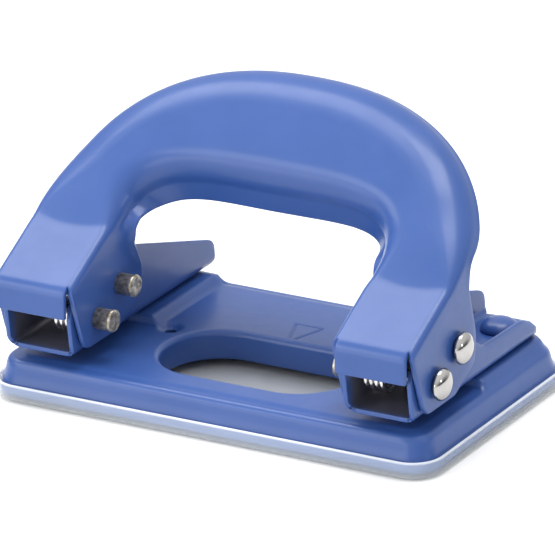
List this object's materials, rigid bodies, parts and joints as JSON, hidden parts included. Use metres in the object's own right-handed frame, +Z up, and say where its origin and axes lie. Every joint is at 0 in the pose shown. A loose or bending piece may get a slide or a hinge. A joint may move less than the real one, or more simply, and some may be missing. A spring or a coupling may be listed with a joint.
{
  "type": "two-hole paper punch",
  "caption": "Pressed-steel paper punch whose arched handle drives two hollow cutters through the sheet, with a pull-off tray for the chips.",
  "frame": {"origin": "middle of the tray's underside, on the surface the punch stands on", "axes": "+X along the base from the left bracket to the right, +Y from the paper side to the back, +Z up"},
  "size_m": [0.1048, 0.0619, 0.0641],
  "materials": {
    "blue_paint": "gloss",
    "tray_plastic": "clear, slightly milky",
    "pin_chrome": "polished",
    "cutter_steel": "ground",
    "spring_steel": "bright drawn wire"
  },
  "bodies": {
    "base": {"base_plate": "blue_paint", "bracket_left": "blue_paint", "bracket_right": "blue_paint", "front_rivet_left": "blue_paint", "front_rivet_right": "blue_paint", "rear_rivet_left": "blue_paint", "rear_rivet_right": "blue_paint", "pivot_pin_left": "pin_chrome", "pivot_pin_right": "pin_chrome", "return_spring_left": "spring_steel", "return_spring_right": "spring_steel"},
    "handle": {"handle": "blue_paint", "drive_pin_left": "pin_chrome", "drive_pin_right": "pin_chrome"},
    "cutter_left": {"cutter_left": "cutter_steel"},
    "cutter_right": {"cutter_right": "cutter_steel"},
    "tray": {"chip_tray": "tray_plastic"}
  },
  "joints": [
    {"name": "handle_press", "type": "hinge", "parent": "base", "child": "handle", "pos_m": [0, -0.0206, 0.018], "axis": [-1, 0, 0], "range_deg": [0, 28], "stiffness_Nm_per_rad": 0.4, "springref_deg": -20.05, "deforming": ["return_spring_left", "return_spring_right"]},
    {"name": "cutter_left_punch", "type": "slide", "parent": "base", "child": "cutter_left", "axis": [0, 0, -1], "range_m": [0, 0.0048]},
    {"name": "cutter_right_punch", "type": "slide", "parent": "base", "child": "cutter_right", "axis": [0, 0, -1], "range_m": [0, 0.0048]},
    {"name": "tray_pull", "type": "slide", "parent": "base", "child": "tray", "axis": [0, 0, -1], "range_m": [0, 0.015]}
  ],
  "couplings": [
    {"joint": "cutter_left_punch", "follows": "handle_press", "m_per_rad": 0.00963},
    {"joint": "cutter_right_punch", "follows": "handle_press", "m_per_rad": 0.00963}
  ]
}
